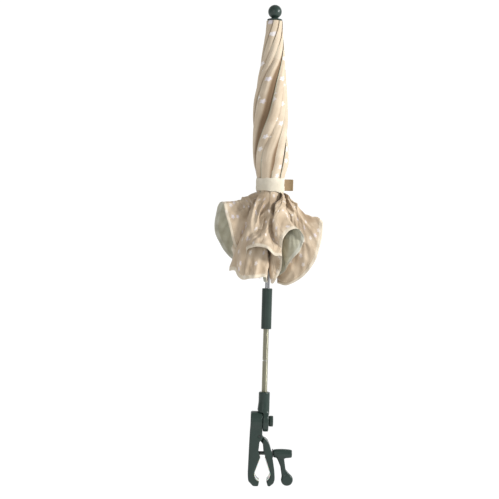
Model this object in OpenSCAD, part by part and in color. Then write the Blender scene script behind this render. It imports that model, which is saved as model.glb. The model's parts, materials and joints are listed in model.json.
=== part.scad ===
// Folding parasol with a bending neck and a screw clamp, folded and tied.
// Millimetres. The origin is the centre of the held tube, which runs along Y.
// +Z runs up the mast. +X is the side of the clamp's knob.

/* [Clamp] */
// radius of the tube the jaws hold at rest
grip_r = 12; // [9:0.5:15]
// thickness of the soft pads in the jaws
pad_t = 1.2; // [0.8:0.1:2]
// width of the jaws along the held tube
jaw_depth = 24; // [18:1:32]
// slope of the jaws' inner faces, in degrees
jaw_slope = 19.1; // [17:0.1:22]
// thickness of the fixed jaw outside its pocket
fixed_wall = 10.7; // [8:0.1:14]
// thickness of the swinging jaw outside its pocket
swing_wall = 7.8; // [6:0.1:11]
// radius of the clamp screw
screw_r = 3; // [2.4:0.1:3.6]
// radius of the knob's hub
hub_knob_r = 7.2; // [6:0.1:9]
// radius of the bulb at the end of the knob's lever
bulb_r = 10.2; // [8:0.1:13]

/* [Tilting head] */
// radius of the round barrel on top of the fixed jaw
head_r = 16.3; // [13.5:0.1:20]
// radius of the push button
button_r = 9.3; // [7.5:0.1:9.5]
// how far the button goes in
button_travel = 3; // [2:0.1:3.2]

/* [Bending neck] */
// radius of the neck's outer coil
neck_r = 4.8; // [4:0.1:5.8]
// length of bare neck between the socket and the sleeve
neck_len = 103.3; // [80:0.1:130]
// radius of the socket and its column
socket_r = 9.3; // [8.5:0.1:11.5]

/* [Mast] */
// radius of the shaft
shaft_r = 4; // [3.2:0.1:4.8]
// wall of the shaft tube
shaft_wall = 0.8; // [0.5:0.1:1.2]
// radius of the sleeve that joins the neck to the shaft
sleeve_r = 8.5; // [7.5:0.1:11]
// length of that sleeve
sleeve_len = 67; // [55:1:85]
// radius of the ball on top
ball_r = 11.3; // [9:0.1:14]

/* [Frame] */
// radius of a rib wire
rib_r = 0.9; // [0.7:0.05:1.1]
// angle of the ribs from the mast when the canopy is open
open_angle = 82; // [70:1:86]

/* [Canopy] */
// length of the canopy cloth from the crown's hinge to the hem
canopy_len = 427; // [350:1:520]
// radius of the rolled canopy
roll_r = 28.8; // [24:0.1:35]
// radius of the roll under the tie strap
waist_r = 22.4; // [18.5:0.1:27]
// radius of the loose folds below the strap
flare_r = 88; // [70:1:106]
// thickness of the cloth stand-in
cloth_t = 1; // [0.8:0.1:1.2]
// width of the tie strap
strap_w = 21; // [16:1:26]

/* [Hidden] */
$fn = 64;
ribs = 8;
step = 360 / ribs;
first = step / 2;
run_gap = 0.05;
face_gap = 0.15;
wedge_in = 0.995;

// clamp
pocket_r = grip_r + pad_t;
x_left = -(pocket_r + fixed_wall);
x_right = pocket_r + swing_wall;
z_screw = grip_r / sin(jaw_slope) - 4;
swing_arm = 28.8;
pin_x = -6.5;
pin_r = 2;
z_pin = z_screw + swing_arm;
tongue_r = 5;
tongue_half = 4.9;
tip_low = -(grip_r + 8.6);
boss_r = 8;
boss_x = 7.4 + (pocket_r - 13.2) * 0.5;
seat_x = boss_x + boss_r + 0.1;
washer_t = 1.5;
knob_x0 = seat_x + washer_t;
knob_x1 = knob_x0 + 31.4;
nut_half = 5;
nut_t = 4.6;
nut_x = -7.6;
screw_end = -17.2;
slot_low = screw_r + 5.2;
slot_high = screw_r + 3;
relief_half = hub_knob_r + 0.4;
bulb_x = knob_x1 - 7.4;
bulb_z = z_screw - 42.9;

// head
barrel_x0 = -21.5;
barrel_x1 = -1.5;
knuckle_x0 = -1.2;
knuckle_x1 = 8.2;
knuckle_r = head_r + 1.2;
z_head = z_pin + head_r + 7.7;
hub_r = head_r * 0.7;
hub_in_r = hub_r - 3;
hub_x0 = -9.8;
clutch_r = hub_in_r - 0.8;
clutch_x0 = -13.4;
clutch_x1 = -0.4;
spline_r = clutch_r + 1.3;
cell_x0 = -19;
stem_r = 2.4;
web_x0 = 1;
web_x1 = 5.2;
button_x0 = 9.7;
button_x1 = 15.8;
clip_t = 1;
clip_x = -8;

// neck and mast
z_socket = z_head + knuckle_r + 30.7;
z_neck_top = z_socket + neck_len;
z_mid = z_socket + neck_len / 2;
z_bend_low = z_socket + neck_len / 4 + 0.3;
z_bend_high = z_neck_top - neck_len / 4 - 0.3;
core_r = neck_r - 1.6;
coil_in_r = neck_r - 1.5;
bend_gap = 2.8;
seat_len = 20;
ferrule_r = neck_r + 0.8;
z_sleeve_top = z_neck_top + sleeve_len;
z_shaft = z_neck_top + seat_len + 2;
hem_gap = 7;
z_hem = z_sleeve_top + hem_gap;
z_crown = z_hem + canopy_len;

// frame
rib_len = canopy_len * 0.89;
arm_len = canopy_len * 0.3864;
z_joint = z_crown - arm_len;
z_runner = z_crown - 2 * arm_len;
travel = 2 * arm_len * (1 - cos(open_angle));
tube_r = shaft_r + 2.26;
eye_r = 1.3;
pivot_r = tube_r + 0.44 + eye_r;
strut_t = 2 * rib_r - 0.2;
rib_off = strut_t / 2 + rib_r + 0.9;
rib_axis = pivot_r + rib_off;
slot_w = 2 * rib_r + 0.8;
rivet_r = 0.5;
rivet_hole = rivet_r + 0.06;
ear_in = slot_w / 2 - 0.3;
ear_out = ear_in + 0.6;
cross_half = slot_w / 2 + 0.7;
groove_half = cross_half + 0.2;
tip_r = rib_r + 0.3;
flange_r = rib_axis + rib_r - 0.1;
z_rib_end = z_crown - rib_len;
crown_low = z_crown - 8;
crown_top = z_crown + 6;

// catch lever on the runner
catch_z = z_runner - 16;
catch_x = shaft_r + 1.8;
catch_half = 0.75;
nose_z = catch_z + 7;

// canopy
cloth_in = rib_axis + tip_r + 0.4;
sector_gap = 1.6;
z_tie = z_crown - 0.617 * canopy_len;
strap_in = waist_r + 0.3;
strap_t = 0.9;

// ---- helpers

// a cylinder along X from x0 to x1, on the axis y = 0, z = z0
module rod_x(x0, x1, r, z0) {
  translate([x0, 0, z0]) rotate([0, 90, 0]) cylinder(r = r, h = x1 - x0);
}

// a cylinder along Y through (x, z), half as long as 2 * half
module rod_y(x, z, r, half) {
  translate([x, half, z]) rotate([90, 0, 0]) cylinder(r = r, h = 2 * half);
}

// a cylinder along Z
module rod_z(z0, z1, r) {
  translate([0, 0, z0]) cylinder(r = r, h = z1 - z0);
}

// a tube along Z
module tube_z(z0, z1, r_out, r_in) {
  difference() {
    rod_z(z0, z1, r_out);
    rod_z(z0 - 1, z1 + 1, r_in);
  }
}

// a flat shape drawn in X and Z, made solid along Y
module slab(half) {
  translate([0, half, 0]) rotate([90, 0, 0]) linear_extrude(2 * half) children();
}

// the jaws' pocket: a circle that runs up into a wedge, which starts just inside the circle
module pocket(r) {
  w = r * wedge_in;
  circle(r = r);
  polygon([[-w * cos(jaw_slope), w * sin(jaw_slope)],
           [0, w / sin(jaw_slope)],
           [w * cos(jaw_slope), w * sin(jaw_slope)],
           [0, 0]]);
}

// x of the pocket's wedge face at height z
function wedge_x(r, z) = (wedge_in * r - z * sin(jaw_slope)) / cos(jaw_slope);

// ---- clamp

module fixed_outline() {
  difference() {
    polygon([[barrel_x0, z_head - 4],
             [barrel_x0 - 0.6, z_head - 16],
             [x_left + 1.2, z_screw + 20],
             [x_left + 0.6, z_screw - 7],
             [x_left, -1.3],
             [x_left + 1, tip_low + 8.4],
             [x_left + 9.3, tip_low],
             [-grip_r * 0.48, tip_low],
             [-grip_r * 0.43, tip_low + 5.6],
             [0, 0],
             [-wedge_x(grip_r, z_screw - 6), z_screw - 6],
             [-7.2, z_screw + 2.6],
             [-6.2, z_screw + 13.5],
             [-5.8, z_pin - 8.5],
             [-3.1, z_pin - 7.7],
             [-1.1, z_pin - 4.5],
             [barrel_x1, z_pin + 6.3],
             [barrel_x1, z_head - 4]]);
    pocket(pocket_r);
  }
}

module fixed_jaw() {
  color("#3c4640") difference() {
    union() {
      slab(jaw_depth / 2) fixed_outline();
      rod_x(barrel_x0, barrel_x1, head_r, z_head);
    }
    // room for the swinging jaw's tongue
    translate([pin_x - tongue_r - 0.6, -tongue_half - face_gap, z_pin - 11.5])
      cube([tongue_r + 8, 2 * (tongue_half + face_gap), 11.5 + tongue_r + 0.6]);
    rod_y(pin_x, z_pin, pin_r, jaw_depth);
    // screw hole and the nut's pocket
    rod_x(screw_end - 4.2, 5, screw_r + run_gap, z_screw);
    nut_block(0, 6);
    // bore for the hub, its clip, and the clutch's cell
    rod_x(hub_x0 - 0.2, 0, hub_r + run_gap, z_head);
    rod_x(clip_x - face_gap, clip_x + clip_t + face_gap, hub_r + 1.15, z_head);
    rod_x(cell_x0, hub_x0, clutch_r + run_gap, z_head);
    splines(cell_x0, hub_x0, spline_r + run_gap, 3.2);
  }
}

module nut_block(grow, extra) {
  translate([nut_x - nut_t - grow, 0, z_screw]) rotate([0, 90, 0])
    cylinder(r = nut_half / cos(30) + grow, h = nut_t + grow + extra, $fn = 6);
}

module splines(x0, x1, r, w) {
  for (a = [0, 90]) {
    translate([x0, 0, z_head]) rotate([a, 0, 0]) translate([0, -r, -w / 2])
      cube([x1 - x0, 2 * r, w]);
  }
}

module screw_nut() {
  color("#a8a8a8") difference() {
    nut_block(0, 0);
    rod_x(nut_x - nut_t - 1, nut_x + 1, screw_r + run_gap, z_screw);
  }
}

// the pocket as a solid
module pocket_block(r, half) {
  w = r * wedge_in;
  union() {
    slab(half) circle(r = r);
    slab(half) polygon([[-w * cos(jaw_slope), w * sin(jaw_slope)],
                        [0, w / sin(jaw_slope)],
                        [w * cos(jaw_slope), w * sin(jaw_slope)],
                        [0, 0]]);
  }
}

// the pad of one side: -1 is the fixed jaw, 1 the swinging jaw
module pad(side, x_tip) {
  half = jaw_depth / 2 - 0.5;
  z_top = z_screw - 6.5;
  intersection() {
    difference() {
      pocket_block(pocket_r, half);
      pocket_block(grip_r, half + 1);
    }
    slab(half + 2) polygon([[side * x_tip, -pocket_r - 2],
                            [side * (pocket_r + 3), -pocket_r - 2],
                            [side * (pocket_r + 3), z_top],
                            [side * 2, z_top],
                            [side * x_tip, 0]]);
  }
}

module fixed_pad() {
  color("#b9bdb8") pad(-1, grip_r * 0.43);
}

module swing_pad() {
  color("#b9bdb8") pad(1, grip_r * 0.62);
}

module jaw_pin() {
  color("#b0b0b0") rod_y(pin_x, z_pin, pin_r, jaw_depth / 2);
}

module swing_outline() {
  difference() {
    polygon([[-0.6, z_pin - 5.9],
             [2.2, z_pin - 2.9],
             [7.7, z_pin - 7.2],
             [11.4, z_pin - 15.3],
             [x_right - 7.7, z_screw + 6.6],
             [x_right - 4.2, z_screw - 8.3],
             [x_right - 1, 5.4],
             [x_right, -8.2],
             [x_right - 1.8, tip_low + 5.6],
             [x_right - 8.4, tip_low + 0.1],
             [grip_r * 0.76, tip_low + 0.9],
             [grip_r * 0.62, tip_low + 7.1],
             [0, 0],
             [wedge_x(grip_r, z_screw - 7), z_screw - 7],
             [1, z_screw + 2.6],
             [0, z_screw + 13.5]]);
    pocket(pocket_r);
  }
}

module tongue_outline() {
  translate([pin_x, z_pin]) circle(r = tongue_r);
  polygon([[pin_x, z_pin + tongue_r],
           [2.2, z_pin - 2.9],
           [3, z_pin - 12],
           [0.2, z_pin - 14],
           [pin_x - 1, z_pin - tongue_r + 0.1]]);
}

// what the washer and the knob's hub sweep past as the jaw swings, as the jaw sees it
module washer_relief() {
  slab(relief_half) polygon([[seat_x - 2.2, z_screw - hub_knob_r - 5],
                             [seat_x + 25, z_screw - hub_knob_r - 9],
                             [seat_x + 25, z_screw + hub_knob_r + 8],
                             [seat_x - 1.6, z_screw + hub_knob_r + 8],
                             [seat_x - 1.6, z_screw]]);
}

module swing_jaw() {
  color("#3c4640") difference() {
    union() {
      difference() {
        slab(jaw_depth / 2) swing_outline();
        washer_relief();
      }
      slab(tongue_half) tongue_outline();
      difference() {
        rod_y(boss_x, z_screw, boss_r, jaw_depth / 2 - 3);
        pocket_block(pocket_r, jaw_depth);
      }
    }
    rod_y(pin_x, z_pin, pin_r + run_gap, jaw_depth);
    // a tall slot, because the jaw swings while the screw stays level
    translate([-5, -screw_r - 0.3, z_screw - slot_low])
      cube([40, 2 * screw_r + 0.6, slot_low + slot_high]);
  }
}

module thrust_washer() {
  color("#b8b8b8") difference() {
    rod_x(seat_x, knob_x0, hub_knob_r, z_screw);
    rod_x(seat_x - 1, knob_x0 + 1, screw_r + run_gap, z_screw);
  }
}

module clamp_screw() {
  color("#b0b0b0") rod_x(screw_end, knob_x1 - 6, screw_r, z_screw);
}

module lever_knob() {
  color("#353f39") difference() {
    union() {
      rod_x(knob_x0, knob_x1, hub_knob_r, z_screw);
      slab(4) polygon([[knob_x0 + 5, z_screw - 4],
                       [knob_x0 + 18, z_screw - 4],
                       [knob_x0 + 21.5, z_screw - 26],
                       [bulb_x + bulb_r * 0.75, bulb_z + bulb_r * 0.6],
                       [bulb_x, bulb_z],
                       [bulb_x - bulb_r * 0.85, bulb_z + bulb_r * 0.45],
                       [knob_x0 + 12.5, z_screw - 21]]);
      intersection() {
        translate([bulb_x, 0, bulb_z]) sphere(r = bulb_r);
        translate([bulb_x - 20, -5.5, bulb_z - 20]) cube([40, 11, 40]);
      }
    }
    rod_x(knob_x0 - 1, knob_x1 - 6, screw_r, z_screw);
  }
}

// ---- tilting head

module clutch_plate() {
  color("#c9c4b4") union() {
    rod_x(clutch_x0, clutch_x1, clutch_r, z_head);
    splines(clutch_x0, clutch_x0 + 2.8, spline_r, 3);
  }
}

module head_button() {
  color("#353f39") union() {
    rod_x(clutch_x1, button_x0, stem_r, z_head);
    rod_x(knuckle_x1 + 0.1, button_x0, button_r - 0.7, z_head);
    rod_x(button_x0, button_x1, button_r, z_head);
  }
}

module button_spring() {
  color("#b0b0b0") for (i = [0:2]) {
    translate([cell_x0 + 0.8 + i * 1.9, 0, z_head]) rotate([0, 90, 0])
      rotate_extrude() translate([clutch_r - 2, 0]) circle(r = 0.5, $fn = 24);
  }
}

module socket() {
  color("#3c4640") difference() {
    union() {
      rod_x(knuckle_x0, knuckle_x1, knuckle_r, z_head);
      rod_x(hub_x0, knuckle_x0 + 1, hub_r, z_head);
      difference() {
        union() {
          rod_z(z_head + knuckle_r - 7.5, z_socket, socket_r);
          // the flare, cut off on the button's side
          difference() {
            translate([0, 0, z_head + knuckle_r - 3])
              cylinder(r1 = socket_r + 2, r2 = socket_r - 0.3, h = 20);
            translate([socket_r - 0.4, -20, z_head]) cube([20, 40, 80]);
          }
        }
        // a saddle over the barrel
        rod_x(-30, knuckle_x0, knuckle_r - 0.5, z_head);
      }
    }
    rod_x(hub_x0 - 1, web_x0, hub_in_r, z_head);
    rod_x(web_x0 - 1, web_x1 + 1, stem_r + 0.1, z_head);
    rod_x(web_x1, knuckle_x1 + 1, button_r + 0.2, z_head);
    rod_z(z_socket - seat_len, z_socket + 1, ferrule_r);
  }
}

module hub_clip() {
  color("#b0b0b0") difference() {
    rod_x(clip_x, clip_x + clip_t, hub_r + 1, z_head);
    rod_x(clip_x - 1, clip_x + clip_t + 1, hub_r, z_head);
  }
}

// ---- bending neck

module ferrule_low() {
  color("#8f8a70") difference() {
    rod_z(z_socket - seat_len, z_socket, ferrule_r);
    rod_z(z_socket - seat_len + 2, z_socket + 1, neck_r);
  }
}

module neck_core_low() {
  color("#9a9a94") rod_z(z_socket - seat_len + 2, z_bend_low - bend_gap, core_r);
}

module neck_coil_low() {
  color("#8c8c70") tube_z(z_socket - seat_len + 2, z_mid, neck_r, coil_in_r);
}

module neck_core_mid() {
  color("#9a9a94") rod_z(z_bend_low + bend_gap, z_bend_high - bend_gap, core_r);
}

module neck_coil_high() {
  color("#8c8c70") tube_z(z_mid, z_neck_top + seat_len - 2, neck_r, coil_in_r);
}

module neck_core_high() {
  color("#9a9a94") rod_z(z_bend_high + bend_gap, z_neck_top + seat_len - 2, core_r);
}

module ferrule_high() {
  color("#8f8a70") difference() {
    rod_z(z_neck_top, z_neck_top + seat_len, ferrule_r);
    rod_z(z_neck_top - 1, z_neck_top + seat_len - 2, neck_r);
  }
}

// ---- mast

module sleeve() {
  color("#1e211f") difference() {
    rod_z(z_neck_top, z_sleeve_top, sleeve_r);
    rod_z(z_neck_top - 1, z_neck_top + seat_len, ferrule_r);
    rod_z(z_shaft, z_sleeve_top + 1, shaft_r);
  }
}

module shaft() {
  color("#d0d2d4") difference() {
    tube_z(z_shaft, crown_top, shaft_r, shaft_r - shaft_wall);
    // the catch drops in here when the canopy is open
    translate([0, -catch_half - 0.2, nose_z + travel - 2])
      cube([shaft_r + 1, 2 * catch_half + 0.4, 4.4]);
  }
}

// eight notches around the mast, from radius r0 outwards
module notches(r0, w, z0, z1) {
  for (i = [0:ribs - 1]) {
    rotate([0, 0, first + i * step]) translate([r0, -w / 2, z0])
      cube([30, w, z1 - z0]);
  }
}

module crown() {
  color("#26302b") difference() {
    rod_z(crown_low, crown_top, flange_r + 0.1);
    rod_z(crown_low - 1, crown_top + 1, shaft_r);
    notches(pivot_r - eye_r - 0.9, slot_w, crown_low - 1, crown_top - 1.4);
    pins(rivet_r, cross_half + 0.2);
  }
}

module pins(r, half) {
  for (i = [0:ribs - 1]) {
    rotate([0, 0, first + i * step]) rod_y(pivot_r, z_crown, r, half);
  }
}

module crown_pins() {
  color("#b0b0b0") pins(rivet_r, cross_half + 0.2);
}

module collar() {
  color("#39413c") difference() {
    union() {
      translate([0, 0, crown_top]) cylinder(r1 = flange_r + 0.1, r2 = flange_r + 1.2, h = 1.6);
      translate([0, 0, crown_top + 1.6]) cylinder(r = flange_r + 1.2, h = 0.9);
      translate([0, 0, crown_top + 2.5]) cylinder(r1 = flange_r + 1.2, r2 = 6, h = 2);
    }
    rod_z(crown_top - 1, crown_top + 6, shaft_r - shaft_wall);
  }
}

module finial() {
  color("#39413c") union() {
    rod_z(crown_top - 12, crown_top + 5, shaft_r - shaft_wall);
    rod_z(crown_top + 4.5, crown_top + 8, 5.2);
    translate([0, 0, crown_top + 4.2 + ball_r]) sphere(r = ball_r);
  }
}

// ---- runner

module runner() {
  color("#26302b") difference() {
    union() {
      rod_z(z_runner - 28, z_runner + 4, tube_r);
      rod_z(z_runner - 4, z_runner + 4, flange_r);
    }
    rod_z(z_runner - 30, z_runner + 6, shaft_r + 0.06);
    // the ribs and the struts pass through these
    notches(tube_r + run_gap, slot_w, z_runner - 5, z_runner + 5);
    // and the struts' cross pins through these
    for (i = [0:ribs - 1]) {
      rotate([0, 0, first + i * step])
        translate([pivot_r - 0.9, -groove_half, z_runner - 5])
          cube([1.8, 2 * groove_half, 10]);
    }
    // window for the catch lever
    translate([0, -catch_half - 0.2, catch_z - 10]) cube([12, 2 * catch_half + 0.4, 19]);
    rod_y(catch_x, catch_z, rivet_r, 3.4);
  }
}

module catch_pin() {
  color("#b0b0b0") rod_y(catch_x, catch_z, rivet_r, 3.4);
}

module catch_lever() {
  color("#39413c") difference() {
    slab(catch_half) polygon([[shaft_r + 0.12, nose_z - 1.2],
                              [shaft_r + 0.12, nose_z + 1.2],
                              [shaft_r + 2.4, nose_z + 1.2],
                              [shaft_r + 2.4, catch_z - 3.4],
                              [shaft_r + 4.4, catch_z - 4.4],
                              [shaft_r + 4.4, catch_z - 8.6],
                              [shaft_r + 1.4, catch_z - 8.6],
                              [shaft_r + 0.9, catch_z],
                              [shaft_r + 0.9, nose_z - 1.2]]);
    rod_y(catch_x, catch_z, rivet_hole, 5);
  }
}

// ---- ribs and struts

module rib(i) {
  jog_h = 12;
  jog_len = sqrt(rib_off * rib_off + jog_h * jog_h);
  jog_turn = atan(rib_off / jog_h);
  color("#c4c7c9") rotate([0, 0, first + (i - 1) * step]) difference() {
    union() {
      translate([rib_axis, 0, z_rib_end]) cylinder(r = rib_r, h = rib_len - jog_h);
      translate([rib_axis, 0, z_crown - jog_h]) rotate([0, -jog_turn, 0])
        cylinder(r = rib_r, h = jog_len - eye_r / 2);
      translate([rib_axis, 0, z_crown - jog_h]) sphere(r = rib_r + 0.06);
      rod_y(pivot_r, z_crown, eye_r, strut_t / 2);
      // bracket and rivet for the strut
      difference() {
        translate([pivot_r - eye_r, -ear_out, z_joint - 1.8])
          cube([rib_off + eye_r + 0.4, 2 * ear_out, 3.6]);
        translate([pivot_r - eye_r - 1, -ear_in, z_joint - 3])
          cube([eye_r + 1 + eye_r + 0.2, 2 * ear_in, 6]);
      }
      rod_y(pivot_r, z_joint, rivet_r, ear_out + 0.3);
      // ball tip that holds the cloth
      translate([rib_axis, 0, z_rib_end]) sphere(r = tip_r);
    }
    rod_y(pivot_r, z_crown, rivet_hole, 3);
  }
}

module strut(i) {
  color("#b4b8ba") rotate([0, 0, first + (i - 1) * step]) {
    difference() {
      union() {
        translate([pivot_r - 0.8, -strut_t / 2, z_runner]) cube([1.6, strut_t, arm_len]);
        rod_y(pivot_r, z_joint, eye_r, strut_t / 2);
        rod_y(pivot_r, z_runner, eye_r, strut_t / 2);
        rod_y(pivot_r, z_runner, 0.6, cross_half);
      }
      rod_y(pivot_r, z_joint, rivet_hole, 3);
    }
  }
}

// ---- canopy

// outer radius of the folded cloth: height, then radius
roll = [[z_crown + 5.7, flange_r + 0.4 + cloth_t],
        [z_crown - 0.063 * canopy_len, cloth_in + cloth_t + 0.22 * (roll_r - cloth_in)],
        [z_crown - 0.18 * canopy_len, cloth_in + cloth_t + 0.52 * (roll_r - cloth_in)],
        [z_crown - 0.30 * canopy_len, roll_r - 0.8],
        [z_crown - 0.51 * canopy_len, roll_r],
        [z_tie + strap_w / 2 + 3, waist_r],
        [z_tie - strap_w / 2 - 3, waist_r],
        [z_crown - 0.67 * canopy_len, waist_r + 0.12 * (flare_r - waist_r)],
        [z_crown - 0.742 * canopy_len, 0.95 * flare_r],
        [z_crown - 0.766 * canopy_len, flare_r],
        [z_crown - 0.84 * canopy_len, 0.74 * flare_r],
        [z_crown - 0.93 * canopy_len, 0.46 * flare_r],
        [z_hem, cloth_in + cloth_t + 6]];

module gore(i) {
  n = len(roll);
  outer = [for (k = [0:n - 1]) [roll[k][1], roll[k][0]]];
  inner = [for (k = [n - 1:-1:0]) [roll[k][1] - cloth_t * (k > 6 ? 1.4 : 1), roll[k][0]]];
  color("#c9b58e") rotate([0, 0, first + (i - 1.5) * step + sector_gap / 2])
    rotate_extrude(angle = step - sector_gap) polygon(concat(outer, inner));
}

module tie_strap() {
  color("#b39a6c") tube_z(z_tie - strap_w / 2, z_tie + strap_w / 2, strap_in + strap_t, strap_in);
}

module strap_tab() {
  color("#6b5535") translate([strap_in + strap_t + 0.1, -0.8, z_tie - strap_w * 0.44])
    cube([13.5, 1.6, strap_w * 0.88]);
}

fixed_jaw();
fixed_pad();
screw_nut();
jaw_pin();
swing_jaw();
swing_pad();
thrust_washer();
clamp_screw();
lever_knob();
clutch_plate();
head_button();
button_spring();
socket();
hub_clip();
ferrule_low();
neck_core_low();
neck_coil_low();
neck_core_mid();
neck_coil_high();
neck_core_high();
ferrule_high();
sleeve();
shaft();
crown();
crown_pins();
collar();
finial();
runner();
catch_pin();
catch_lever();
rib(1);  // rib_1
rib(2);  // rib_2
rib(3);  // rib_3
rib(4);  // rib_4
rib(5);  // rib_5
rib(6);  // rib_6
rib(7);  // rib_7
rib(8);  // rib_8
strut(1);  // strut_1
strut(2);  // strut_2
strut(3);  // strut_3
strut(4);  // strut_4
strut(5);  // strut_5
strut(6);  // strut_6
strut(7);  // strut_7
strut(8);  // strut_8
gore(1);  // gore_1
gore(2);  // gore_2
gore(3);  // gore_3
gore(4);  // gore_4
gore(5);  // gore_5
gore(6);  // gore_6
gore(7);  // gore_7
gore(8);  // gore_8
tie_strap();
strap_tab();
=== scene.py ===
# %% [markdown]
# # A small folding parasol with a clamp
# The real object is a sun parasol for a pushchair: a cloth canopy rolled round a chrome mast and
# tied with a strap, a bending neck, and a dark plastic clamp with a tilting head. The hard parts
# come from the CAD frame, so they are in place already. This lesson gives them soft edges and
# real finishes, and makes every piece of cloth.

import json
import math

import bmesh
import bpy
import numpy as np
from mathutils import Matrix, Vector


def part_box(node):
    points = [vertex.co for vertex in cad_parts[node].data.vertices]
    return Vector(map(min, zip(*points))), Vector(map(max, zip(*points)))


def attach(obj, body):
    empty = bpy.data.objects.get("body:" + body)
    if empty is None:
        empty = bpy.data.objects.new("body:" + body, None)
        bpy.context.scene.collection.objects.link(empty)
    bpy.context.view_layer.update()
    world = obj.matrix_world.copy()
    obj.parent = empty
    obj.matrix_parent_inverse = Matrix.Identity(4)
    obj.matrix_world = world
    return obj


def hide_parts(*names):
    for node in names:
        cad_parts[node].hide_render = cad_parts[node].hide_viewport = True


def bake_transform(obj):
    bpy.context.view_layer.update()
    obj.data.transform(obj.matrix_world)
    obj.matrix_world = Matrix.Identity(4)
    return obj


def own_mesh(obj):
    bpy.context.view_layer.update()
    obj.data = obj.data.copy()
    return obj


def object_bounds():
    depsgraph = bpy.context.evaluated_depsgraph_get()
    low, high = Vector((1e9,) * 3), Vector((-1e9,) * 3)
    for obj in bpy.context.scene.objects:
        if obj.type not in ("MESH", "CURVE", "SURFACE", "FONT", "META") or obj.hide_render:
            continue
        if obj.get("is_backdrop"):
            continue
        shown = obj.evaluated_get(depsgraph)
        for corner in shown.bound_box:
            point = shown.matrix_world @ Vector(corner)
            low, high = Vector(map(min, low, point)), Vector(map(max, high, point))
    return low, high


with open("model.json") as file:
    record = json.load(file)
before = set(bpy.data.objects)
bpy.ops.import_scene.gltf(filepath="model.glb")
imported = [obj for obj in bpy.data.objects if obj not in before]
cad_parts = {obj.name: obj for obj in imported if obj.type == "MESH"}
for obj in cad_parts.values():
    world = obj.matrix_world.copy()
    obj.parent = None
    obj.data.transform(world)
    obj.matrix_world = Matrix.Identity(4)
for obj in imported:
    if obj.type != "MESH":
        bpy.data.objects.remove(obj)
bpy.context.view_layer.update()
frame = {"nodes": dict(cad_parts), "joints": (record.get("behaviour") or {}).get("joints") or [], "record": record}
MM = 0.001

# %% [markdown]
# ## Heights along the mast
# Every height is read from the frame's own boxes, so a cloth piece lands where the frame is.

# %% Heights and radii
PIVOT_UP = 8 * MM  # the ribs' pins sit this far above the crown's lower face
Z_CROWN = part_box("crown")[0].z + PIVOT_UP
Z_HEM, Z_TOP = (corner.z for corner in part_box("gore_1"))
Z_TIE_LOW, Z_TIE_TOP = (corner.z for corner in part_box("tie_strap"))
Z_SOCKET_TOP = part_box("socket")[1].z
Z_SLEEVE_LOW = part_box("sleeve")[0].z
CLOTH_LEN = Z_CROWN - Z_HEM
PIVOT_R = 8 * MM  # and this far out from the mast's axis
RIBS = 8
STEP = 2 * math.pi / RIBS  # angle from one rib to the next
OPEN = math.radians(82)  # how far a rib swings
print("cloth length", round(CLOTH_LEN, 4), "tie at", round(Z_TIE_LOW, 4), round(Z_TIE_TOP, 4))

# %% [markdown]
# ## The camera
# A long lens far away keeps the tall object free of distortion. The parasol leans a little in its
# view, which is done by rolling the camera, so the model itself stays upright.

# %% Camera
VIEW_X, VIEW_Z, VIEW_DIST = -31 * MM, 367 * MM, 1.94
LEAN = math.radians(1.6)
LENS = 85
camera_data = bpy.data.cameras.new("camera")
camera_data.lens = LENS
camera = bpy.data.objects.new("camera", camera_data)
bpy.context.scene.collection.objects.link(camera)
camera.matrix_world = (
    Matrix.Translation((VIEW_X, -VIEW_DIST, VIEW_Z))
    @ Matrix.Rotation(math.radians(90), 4, "X")
    @ Matrix.Rotation(LEAN, 4, "Z")
)
bpy.context.scene.camera = camera
bpy.context.scene.view_settings.view_transform = "Standard"
print("camera", VIEW_DIST, "m away, lens", LENS)

# %% [markdown]
# ## Light
# A pale surround lights everything softly. One strong lamp on the right makes that side bright,
# and a weak, larger one in front keeps the dark plastic readable. Both are discs, which leave a
# round highlight on the ball and the knob.


# %% Light
def area_light(name, place, target, size, power):
    data = bpy.data.lights.new(name, "AREA")
    data.shape, data.size, data.energy = "DISK", size, power
    lamp = bpy.data.objects.new(name, data)
    lamp.location = place
    lamp.rotation_euler = (Vector(target) - Vector(place)).to_track_quat("-Z", "Y").to_euler()
    bpy.context.scene.collection.objects.link(lamp)


MIDDLE = (0, 0, 0.4)
area_light("key", (1.8, -0.65, 1.1), MIDDLE, size=0.6, power=48)
area_light("front", (-0.9, -2.1, 0.9), MIDDLE, size=1.4, power=6)
world = bpy.data.worlds.new("studio")
world.use_nodes = True
surround = world.node_tree.nodes["Background"].inputs
surround["Color"].default_value = (1, 1, 1, 1)
surround["Strength"].default_value = 0.45
bpy.context.scene.world = world
print("two lamps and a pale surround")

# %% [markdown]
# ## Floor
# The floor sweeps up into a backdrop behind the parasol, so no horizon shows. It will glow white,
# as a lit paper roll does in a studio. It lies well below the clamp, because the canopy can hang
# lower than the clamp when the head tilts and the neck bends the same way.

# %% Floor
FLOOR_Z, REACH, BACK_Y = -900 * MM, 9.0, 6.0
sweep = [(-REACH, FLOOR_Z), (BACK_Y - 1, FLOOR_Z)]
sweep += [
    (BACK_Y - 1 + math.sin(a), FLOOR_Z + 1 - math.cos(a))
    for a in np.linspace(0, math.pi / 2, 13)[1:]
]
sweep += [(BACK_Y, REACH)]
floor_mesh = bpy.data.meshes.new("floor")
floor_mesh.from_pydata(
    [(x, y, z) for y, z in sweep for x in (-REACH, REACH)],
    [],
    [(2 * k, 2 * k + 1, 2 * k + 3, 2 * k + 2) for k in range(len(sweep) - 1)],
)
floor_mesh.shade_smooth()
floor = bpy.data.objects.new("floor", floor_mesh)
bpy.context.scene.collection.objects.link(floor)
floor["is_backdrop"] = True
print("floor at", FLOOR_Z)

# %% [markdown]
# ## Shader maths as expressions
# A value that a shader works out is a socket. This small class wraps one, so that `1 - mask`
# or `a * b` adds the Math nodes by itself. Everything else comes from one method, `add`.


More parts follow.
